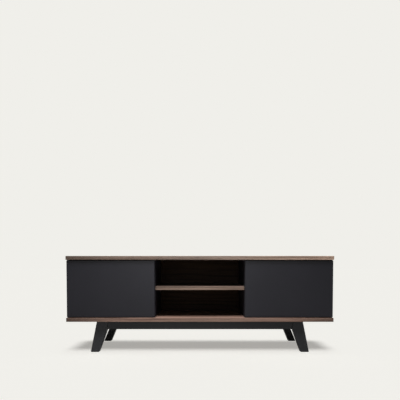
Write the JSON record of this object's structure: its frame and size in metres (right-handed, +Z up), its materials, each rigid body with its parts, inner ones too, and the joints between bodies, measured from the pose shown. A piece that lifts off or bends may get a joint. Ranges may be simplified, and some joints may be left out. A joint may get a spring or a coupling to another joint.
{
  "type": "tv stand with doors",
  "caption": "Low wide TV stand: walnut top and bottom boards, black push-to-open doors either side of an open shelved bay, splayed black base frame.",
  "frame": {"origin": "on the floor, under the middle of the top board", "axes": "+X to the right seen from the front, front faces -Y, +Z up"},
  "size_m": [1.6, 0.4, 0.583],
  "materials": {
    "walnut": "satin veneer",
    "black_lacquer": "matte lacquer",
    "black_wood": "matte lacquer",
    "black_nylon": "matte",
    "white_nylon": "satin",
    "bright_steel": "plated",
    "zinc": "zinc plated",
    "beech": "raw",
    "buffer_rubber": "soft"
  },
  "bodies": {
    "carcass": {"top_panel": "walnut", "bottom_panel": "walnut", "back_panel": "walnut", "centre_shelf": "walnut", "side_panel_left": "black_lacquer", "side_panel_right": "black_lacquer", "divider_left": "black_lacquer", "divider_right": "black_lacquer", "inner_shelf_left": "black_lacquer", "inner_shelf_right": "black_lacquer", "front_rail": "black_wood", "rear_rail": "black_wood", "side_rail_left": "black_wood", "side_rail_right": "black_wood", "front_leg_left": "black_wood", "front_leg_right": "black_wood", "rear_leg_left": "black_wood", "rear_leg_right": "black_wood", "foot_glide_front_left": "black_nylon", "foot_glide_front_right": "black_nylon", "foot_glide_rear_left": "black_nylon", "foot_glide_rear_right": "black_nylon", "pivot_bushes_left": "black_nylon", "pivot_bushes_right": "black_nylon", "latch_housing_left": "black_nylon", "latch_housing_right": "black_nylon", "cam_covers": "black_nylon", "latch_spring_left": "bright_steel", "latch_spring_right": "bright_steel", "shelf_pins_left": "bright_steel", "shelf_pins_right": "bright_steel", "centre_shelf_pins": "bright_steel", "cam_bolts": "zinc", "cam_locks": "zinc", "base_frame_screws": "zinc", "back_panel_screws": "zinc", "carcass_dowels": "beech", "base_dowels": "beech", "door_buffers_left": "buffer_rubber", "door_buffers_right": "buffer_rubber"},
    "door_left": {"door_left": "black_lacquer", "pivot_pins_left": "bright_steel", "strike_plate_left": "bright_steel"},
    "door_right": {"door_right": "black_lacquer", "pivot_pins_right": "bright_steel", "strike_plate_right": "bright_steel"},
    "latch_plunger_left": {"latch_plunger_left": "white_nylon"},
    "latch_plunger_right": {"latch_plunger_right": "white_nylon"}
  },
  "joints": [
    {"name": "door_left_hinge", "type": "hinge", "parent": "carcass", "child": "door_left", "pos_m": [-0.79, -0.18, 0.386], "axis": [0, 0, -1], "range_deg": [0, 100]},
    {"name": "door_right_hinge", "type": "hinge", "parent": "carcass", "child": "door_right", "pos_m": [0.79, -0.18, 0.386], "axis": [0, 0, 1], "range_deg": [0, 100]},
    {"name": "latch_left_push", "type": "slide", "parent": "carcass", "child": "latch_plunger_left", "axis": [0, 1, 0], "range_m": [0, 0.004], "stiffness_N_per_m": 600, "springref_m": -0.002, "deforming": ["latch_spring_left"]},
    {"name": "latch_right_push", "type": "slide", "parent": "carcass", "child": "latch_plunger_right", "axis": [0, 1, 0], "range_m": [0, 0.004], "stiffness_N_per_m": 600, "springref_m": -0.002, "deforming": ["latch_spring_right"]}
  ]
}
